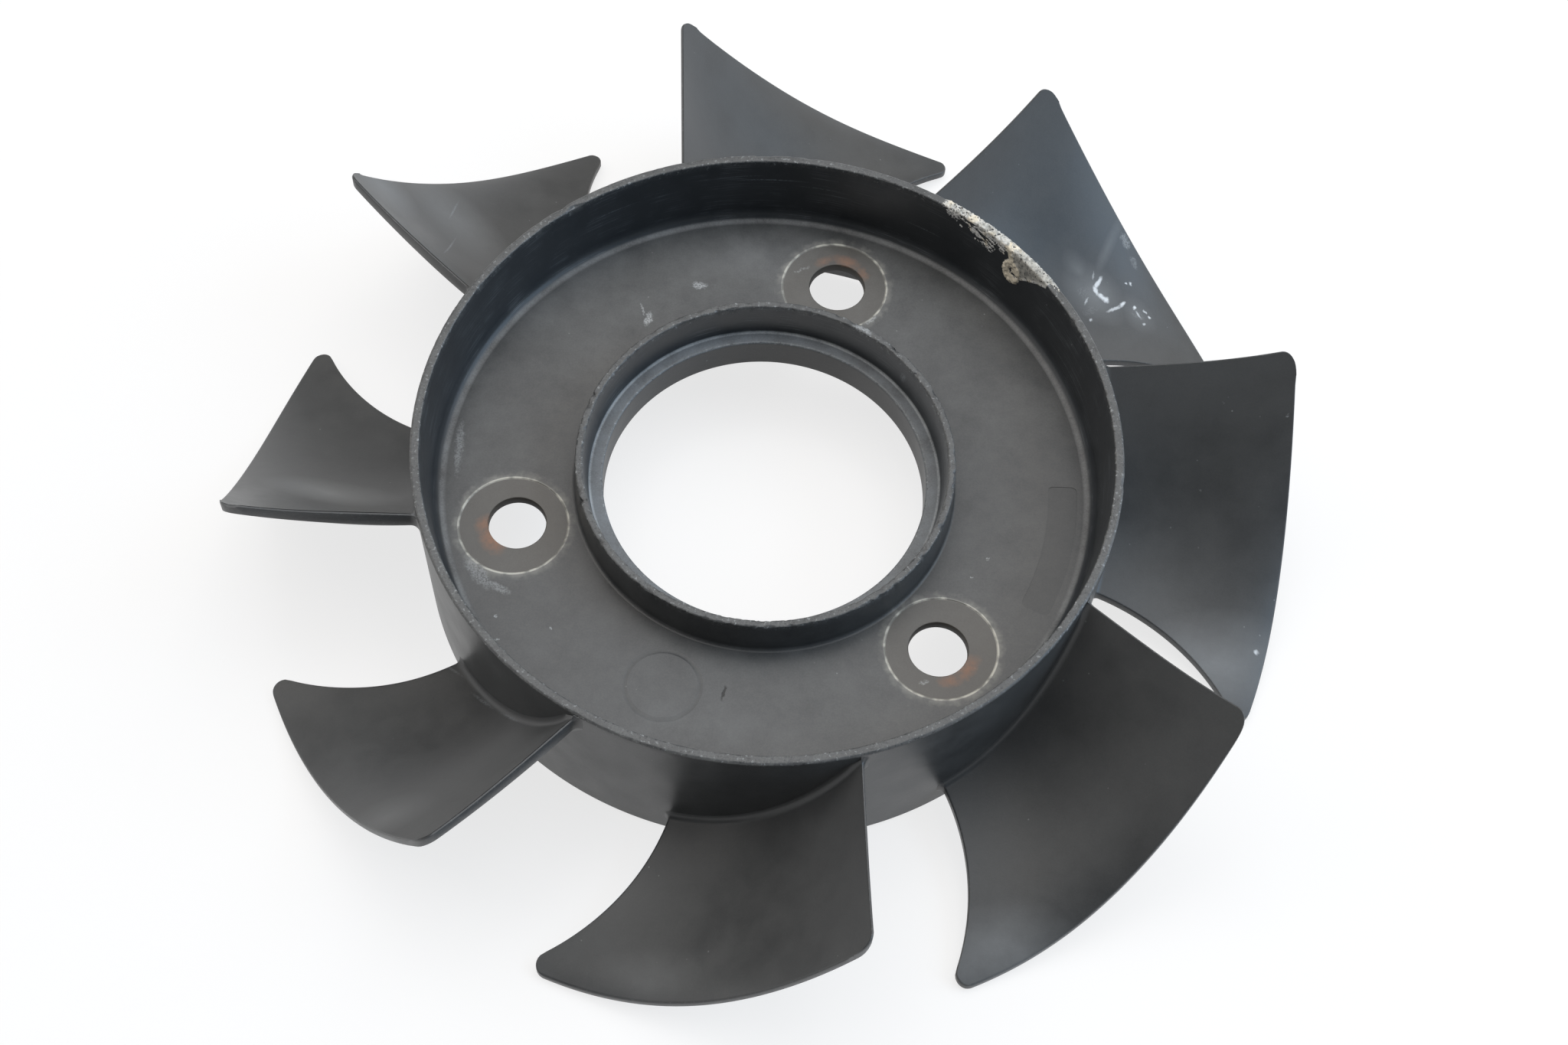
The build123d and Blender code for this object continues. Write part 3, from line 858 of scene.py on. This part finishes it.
def mouldedNylon():
    # black glass-filled nylon (PA6-GF30), injection moulded: a near-black body under a broad satin sheen,
    # greyed and clouded by years of use, with pale scratches round the walls and dust along the edges
    material, node = newMaterial("mouldedGlassFilledNylon")
    place = node("TexCoord", output="Object")
    place = node("VectorMath", {0: place, "Scale": 1 / mm}, operation="SCALE")
    web, wall, edge, ledge, grimeAndUnderShade, sunk, crease, bladeSpan = (
        node("Attribute", output="Fac", attribute_name=name) for name in zoneNames)
    cloud, grain, peel, wornPatch, fleck = (
        node("TexNoise", {"Vector": place, "Scale": 1 / size, "Detail": detail, "Roughness": roughness})
        for size, detail, roughness in wearAndShade["patterns"].values())
    warp = node("TexNoise", {"Vector": place, "Scale": 1.1, "Detail": 3.0}, output="Color")
    warp = node("VectorMath", (warp, (0.5, 0.5, 0.5)), operation="SUBTRACT")
    ragged, wobble = (node("VectorMath", (warp, (sway, sway, sway), place), operation="MULTIPLY_ADD")
                      for sway in (wearAndShade["rag"], wearAndShade["wobble"]))

    # fine scratches round the axis, in patches
    along, across = 1 / wearAndShade["scratchLength"], 1 / wearAndShade["scratchGap"]
    streak = node("VectorMath", (place, (along, along, across)), operation="MULTIPLY")
    streak = node("TexNoise", {"Vector": streak, "Scale": 1.0, "Detail": 1.0})
    streak = node("MapRange", (streak, 0.57, 0.72))
    patchy = node("MapRange", (cloud, 0.46, 0.7))
    for factor in (patchy, wall, wearAndShade["streaks"]):
        streak = node("Math", (streak, factor), operation="MULTIPLY")

    # body colour: cloudy, more even on the blades; its darkening on the blades and the pad, and painted shade
    # on the inner walls
    tone = node("Math", (cloud, 0.7), operation="MULTIPLY")
    tone = node("Math", (grain, 0.3, tone), operation="MULTIPLY_ADD")
    tone = node("MapRange", (tone, 0.33, 0.67))
    onBlade = node("Math", (bladeSpan, 0.0), operation="GREATER_THAN")
    calm = node("Math", (onBlade, wearAndShade["bladeCalm"]), operation="MULTIPLY")
    tone = node("Mix", {0: calm, 2: tone, 3: 0.5})
    # painted shade on the inner walls
    dim = node("Math", (wall, wearAndShade["paintedWallShadeShare"]), operation="MULTIPLY")
    deep = node("Math", (onBlade, wearAndShade["bladeDeep"]), operation="MULTIPLY")
    deep = node("Math", (sunk, wearAndShade["padDeep"], deep), operation="MULTIPLY_ADD")

    # the ledge, painted lighter, and the worn free edges: rubbed in stretches, with bright flecks and dark
    # pits
    ledgeLighter = node("MapRange", (tone, 0.0, 1.0, 0.15, 0.8))
    ledgeLighter = node("Math", (ledgeLighter, ledge), operation="MULTIPLY")
    wornPatch = node("MapRange", (wornPatch, 0.38, 0.62, 0.2))
    rub = node("MapRange", (grain, 0.3, 0.7, 0.0, wearAndShade["rub"]))
    bright = node("MapRange", (fleck, 0.62, 0.68, 0.0, wearAndShade["brightFlecks"]))
    pit = node("MapRange", (fleck, 0.38, 0.33, 0.0, wearAndShade["pits"]))
    rub, bright, pit = (node("Math", (mark, edge), operation="MULTIPLY") for mark in (rub, bright, pit))
    rub = node("Math", (rub, wornPatch), operation="MULTIPLY")

    # bolt prints: a warm, cleaner ring of plastic inside a thin pale line of packed dust
    rings, prints, radius = 0.0, 0.0, boltHoles["printRadius"]
    for n in range(boltHoles["count"]):
        reaches = []
        for point in (place, ragged):
            flat = node("VectorMath", (point, (*printCentre(n), 0)), operation="SUBTRACT")
            flat = node("VectorMath", (flat, (1, 1, 0)), operation="MULTIPLY")
            reaches.append(node("VectorMath", (flat,), output="Value", operation="LENGTH"))
        off = node("Math", (reaches[0], radius + 0.05), operation="SUBTRACT")
        off = node("Math", (off,), operation="ABSOLUTE")
        line = node("MapRange", (off, 0.3, 0.1))
        outside = node("Math", (reaches[0], radius), operation="GREATER_THAN")
        haze = node("MapRange", (reaches[1], radius + 1.5, radius + 0.1, 0.0, wearAndShade["printHaze"]))
        haze = node("Math", (haze, outside), operation="MULTIPLY")
        inside = node("Math", (1.0, outside), operation="SUBTRACT")
        for mark in (line, haze):
            rings = node("Math", (rings, mark), operation="MAXIMUM")
        prints = node("Math", (prints, inside), operation="MAXIMUM")
    breaks = node("MapRange", (wornPatch, 0.3, 0.9, 0.25))
    rings = node("Math", (rings, breaks), operation="MULTIPLY")
    rings, warm = (node("Math", (mark, web), operation="MULTIPLY") for mark in (rings, prints))
    warm = node("Math", (warm, wearAndShade["printWarmth"]), operation="MULTIPLY")

    # haze and dust, with painted sheen on the blades' outer parts and a painted highlight line in the creases;
    # scratches, scuffs, rust and the dark nicks
    uneven = node("Math", (cloud, 0.5, 0.25), operation="MULTIPLY_ADD")
    # the haze patches: dust, and painted sheen on the blades
    haze = node("Math", (markSet(node, place, hazeAndSheenMarks, 0.0), uneven), operation="MULTIPLY")
    # the crease lines: dust, partly a painted highlight
    creaseLine = node("Math", (crease, wearAndShade["creaseDustAndHighlight"]), operation="MULTIPLY")
    creaseLine = node("Math", (creaseLine, tone), operation="MULTIPLY")
    speck = node("TexVoronoi", {"Vector": place, "Scale": 1 / wearAndShade["speckGap"]}, output="Distance")
    speck = node("MapRange", (speck, 0.055, 0.02, 0.0, wearAndShade["specks"]))
    speck = node("Math", (speck, patchy), operation="MULTIPLY")
    grit = node("MapRange", (grain, 0.34, 0.56))
    dustAndPaintedLight = node("Math", (markSet(node, ragged, dustMarks), grit), operation="MULTIPLY")
    for mark in (speck, haze, creaseLine):
        dustAndPaintedLight = node("Math", (dustAndPaintedLight, mark), operation="MAXIMUM")
    scratch = node("Math", (markSet(node, place, scratchMarks, 0.1), grit), operation="MULTIPLY")
    scratch = node("Math", (scratch, streak), operation="MAXIMUM")
    scuff = markSet(node, wobble, scuffMarks, 0.4)
    rust = markSet(node, ragged, rustMarks, 0.0)
    dark = markSet(node, ragged, darkMarks)

    # the layers of colour, from the body outwards
    colour = node("Mix", {0: tone, 6: linear(wearAndShade["bodyDark"]), 7: linear(wearAndShade["bodyLight"])}, output=2,
                  data_type="RGBA")
    layers = ((dim, "paintedWallShade"), (deep, "nick"), (ledgeLighter, "ledge"), (grimeAndUnderShade, "grimeAndUnderShade"), (rub, "wornEdge"),
              (bright, "dustAndPaintedLight"), (pit, "nick"), (warm, "warmStain"), (dustAndPaintedLight, "dustAndPaintedLight"), (rings, "packedDust"),
              (scratch, "scratch"), (scuff, "scuff"), (rust, "rust"), (dark, "nick"))
    for share, layer in layers:
        colour = node("Mix", {0: share, 6: colour, 7: linear(wearAndShade[layer])}, output=2, data_type="RGBA")

    # sheen: duller where it is dusty, rubbed, rusty or dirty
    dull = dustAndPaintedLight
    for mark in (rub, rust, grimeAndUnderShade):
        dull = node("Math", (dull, mark), operation="MAXIMUM")
    sheen = node("MapRange", (cloud, 0.3, 0.7, *wearAndShade["sheen"]))
    sheen = node("Math", (dull, wearAndShade["dustySheen"], sheen), operation="MULTIPLY_ADD")

    # relief: the moulding's fine grain over its slight waviness, with the scratches and nicks cut in
    relief = 0.0
    for mark, height in ((peel, 1.6), (grain, 0.8), (scratch, -1.0), (dark, -3.0)):
        relief = node("Math", (mark, height, relief), operation="MULTIPLY_ADD")
    bump = node("Bump", {"Height": relief, "Strength": 1.0, "Distance": wearAndShade["reliefDepth"] * mm})
    shader = node("BsdfPrincipled", {"Base Color": colour, "Roughness": sheen, "IOR": wearAndShade["ior"],
                  "Normal": bump})
    node("OutputMaterial", {"Surface": shader})
    return material


sealant = {
    # the dark and the pale of each look; the crust's top face, at the rim's height, is one near-white colour
    "crust": ("#96958f", "#dedcd5"), "paste": ("#e2d8c2", "#fff3dc"), "skin": ("#8f8e89", "#c9c6bd"),
    "topPale": "#fbfaf6", "roughness": 0.75, "reliefDepth": 0.05,
    "patterns": {"crumb": (0.7, 4.0), "cream": (2.5, 2.0), "crack": (0.5, 2.0)},    # size and detail
}


def driedSmear():
    # dried sealant, smeared and left to cure: a chalky cream crust, greyer where it is thin
    material, node = newMaterial("driedSealantSmear")
    place = node("TexCoord", output="Object")
    place = node("VectorMath", {0: place, "Scale": 1 / mm}, operation="SCALE")
    thin, drip = (node("Attribute", output="Fac", attribute_name=name) for name in ("thinFilm", "drip"))
    crumb, cream, crack = (node("TexNoise", {"Vector": place, "Scale": 1 / size, "Detail": detail})
                           for size, detail in sealant["patterns"].values())
    height = node("SeparateXYZ", (place,), output="Z")
    # paler towards the top of the crust
    topShare = node("MapRange", (height, rimTop - 0.1, rimTop - 0.5))
    cream = node("MapRange", (cream, 0.5, 0.62, 0.0, 0.8))
    cream = node("Math", (cream, drip), operation="MAXIMUM")
    crack = node("MapRange", (crack, 0.39, 0.34, 0.0, 0.9))
    keep = node("Math", (1.0, drip), operation="SUBTRACT")
    crack = node("Math", (crack, keep), operation="MULTIPLY")
    tone = node("MapRange", (crumb, 0.35, 0.58))
    colour, paste, skin = (
        node("Mix", {0: tone, 6: linear(dark), 7: linear(pale)}, output=2, data_type="RGBA")
        for dark, pale in (sealant[look] for look in ("crust", "paste", "skin")))
    for share, layer in ((topShare, linear(sealant["topPale"])), (cream, paste), (thin, skin),
                         (crack, linear(wearAndShade["nick"]))):
        colour = node("Mix", {0: share, 6: colour, 7: layer}, output=2, data_type="RGBA")
    bump = node("Bump", {"Height": crumb, "Strength": 1.0, "Distance": sealant["reliefDepth"] * mm})
    shader = node("BsdfPrincipled", {"Base Color": colour, "Roughness": sealant["roughness"],
                  "Normal": bump})
    node("OutputMaterial", {"Surface": shader})
    return material


moulding.data.materials.clear()
moulding.data.materials.append(mouldedNylon())
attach(moulding, "root")
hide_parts("impeller")
driedCrust.data.materials.append(driedSmear())
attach(driedCrust, "root")
print("moulding:", len(moulding.data.polygons), "faces")


# Camera at the photograph's viewing angle

view = {
    "lens": 51.40, "sensor": 36.0, "distance": 377.4, "elevation": 58.003,
    "pan": 2.007, "tilt": 3.917, "roll": 3.356, "shiftX": 0.06691, "shiftY": 0.04003,
}


def photoCamera():
    elevation = math.radians(view["elevation"])
    eye = Vector((0, -view["distance"] * math.cos(elevation), view["distance"] * math.sin(elevation)))
    ahead = -eye.normalized()
    right = Vector((1, 0, 0))
    up = right.cross(ahead)
    rows = Matrix.Identity(3)
    for turn, axis in (("roll", "Z"), ("tilt", "X"), ("pan", "Y")):
        rows = rows @ Matrix.Rotation(math.radians(view[turn]), 3, axis)
    rows = rows @ Matrix((right, -up, ahead))
    axes = Matrix((rows[0], -rows[1], -rows[2])).transposed()
    data = bpy.data.cameras.new("photoCamera")
    data.lens = view["lens"]
    data.sensor_width = view["sensor"]
    data.sensor_fit = "HORIZONTAL"
    data.shift_x = view["shiftX"]
    data.shift_y = view["shiftY"]
    data.clip_start = 0.01
    camera = addObject("photoCamera", data)
    camera.matrix_world = Matrix.Translation((eye + Vector((0, 0, rimTop))) * mm) @ axes.to_4x4()
    bpy.context.scene.camera = camera


photoCamera()
print("camera placed")


# Paper sweep, world and studio lights

studio = {
    "paperColour": "#8c8c8c", "paperGlow": 0.76,        # the glow whitens it to the camera and in reflections
    "floorRadius": 2.6, "coveRadius": 0.4, "wallHeight": 1.1, "segments": 96, "coveSteps": 8,     # metres
    "worldColour": "#ffffff", "worldStrength": 0.05, "lampSize": 1.15, "lampDistance": 1.5,
}
softboxes = {
    # azimuth 0 is the camera's side, 90 the right, 180 behind the object
    "overhead": {"azimuth": 0, "elevation": 90, "radiance": 0.77},
    "backRightHigh": {"azimuth": 120, "elevation": 60, "radiance": 1.23},
    "backHigh": {"azimuth": 180, "elevation": 60, "radiance": 1.3},
    "backLeftHigh": {"azimuth": 240, "elevation": 60, "radiance": 1.45, "colour": "#fff9f3"},
    "backRightLow": {"azimuth": 135, "elevation": 30, "radiance": 0.61, "colour": "#fff0dc"},
    "leftLow": {"azimuth": 270, "elevation": 30, "radiance": 0.81},
    "rightLow": {"azimuth": 90, "elevation": 30, "radiance": 2.9, "colour": "#c6e3ff"},
}


def sweepPaper():
    # matt white paper: white to the camera and in reflections, with the object's soft shadow left on it
    material, node = newMaterial("mattWhitePaper")
    material.cycles.emission_sampling = "NONE"
    paper = node("BsdfDiffuse", {"Color": linear(studio["paperColour"])})
    seen = node("LightPath", output="Is Camera Ray")
    rays = seen.node.outputs
    for ray in ("Is Glossy Ray", "Is Transmission Ray"):
        seen = node("Math", (seen, rays[ray]), operation="MAXIMUM")
    strength = node("Math", (seen, studio["paperGlow"]), operation="MULTIPLY")
    glow = node("Emission", {"Color": (1, 1, 1, 1), "Strength": strength})
    both = node("AddShader", (paper, glow))
    node("OutputMaterial", {"Surface": both})
    return material


def paperSweep():
    # a round floor that turns up into a low wall all round
    level = cadLow.z - 0.02 * mm
    radius, cove, segments = studio["floorRadius"], studio["coveRadius"], studio["segments"]
    profile = [(0.0, level)] + [(radius * share, level) for share in (0.05, 0.2, 0.6)]
    for turn in np.radians(np.linspace(0, 90, studio["coveSteps"] + 1)):
        profile.append((radius + cove * math.sin(turn), level + cove * (1 - math.cos(turn))))
    profile.append((radius + cove, level + studio["wallHeight"]))
    vertices, faces = [], []
    for i in range(segments):
        angle = 2 * math.pi * i / segments
        vertices += [(r * math.cos(angle) / mm, r * math.sin(angle) / mm, z / mm) for r, z in profile]
        here, there = i * len(profile), (i + 1) % segments * len(profile)
        faces += [(here + j, there + j, there + j + 1, here + j + 1) for j in range(len(profile) - 1)]
    sweep = meshObject("paperSweep", vertices, faces)
    sweep.data.materials.append(sweepPaper())
    cleanUp(sweep, 60)


def softbox(name, azimuth, elevation, radiance, colour="#ffffff"):
    # a square area lamp that faces the object
    data = bpy.data.lights.new(name, "AREA")
    data.shape = "SQUARE"
    data.size = studio["lampSize"]
    data.energy = radiance * math.pi * data.size ** 2
    data.color = linear(colour)[:3]
    lamp = addObject(name, data)
    a, e = math.radians(azimuth), math.radians(elevation)
    place = Vector((math.sin(a) * math.cos(e), -math.cos(a) * math.cos(e), math.sin(e)))
    lamp.location = place * studio["lampDistance"]
    lamp.rotation_euler = place.to_track_quat("Z", "Y").to_euler()


def studioWorld():
    world = bpy.data.worlds.new("studioWorld")
    world.use_nodes = True
    world.node_tree.nodes.clear()
    room = addNode(world.node_tree, "Background",
                   {"Color": linear(studio["worldColour"]), "Strength": studio["worldStrength"]})
    addNode(world.node_tree, "OutputWorld", {"Surface": room})
    bpy.context.scene.world = world


paperSweep()
studioWorld()
for name, settings in softboxes.items():
    softbox(name, **settings)
bpy.context.scene.view_settings.view_transform = "Standard"
print("studio lit")
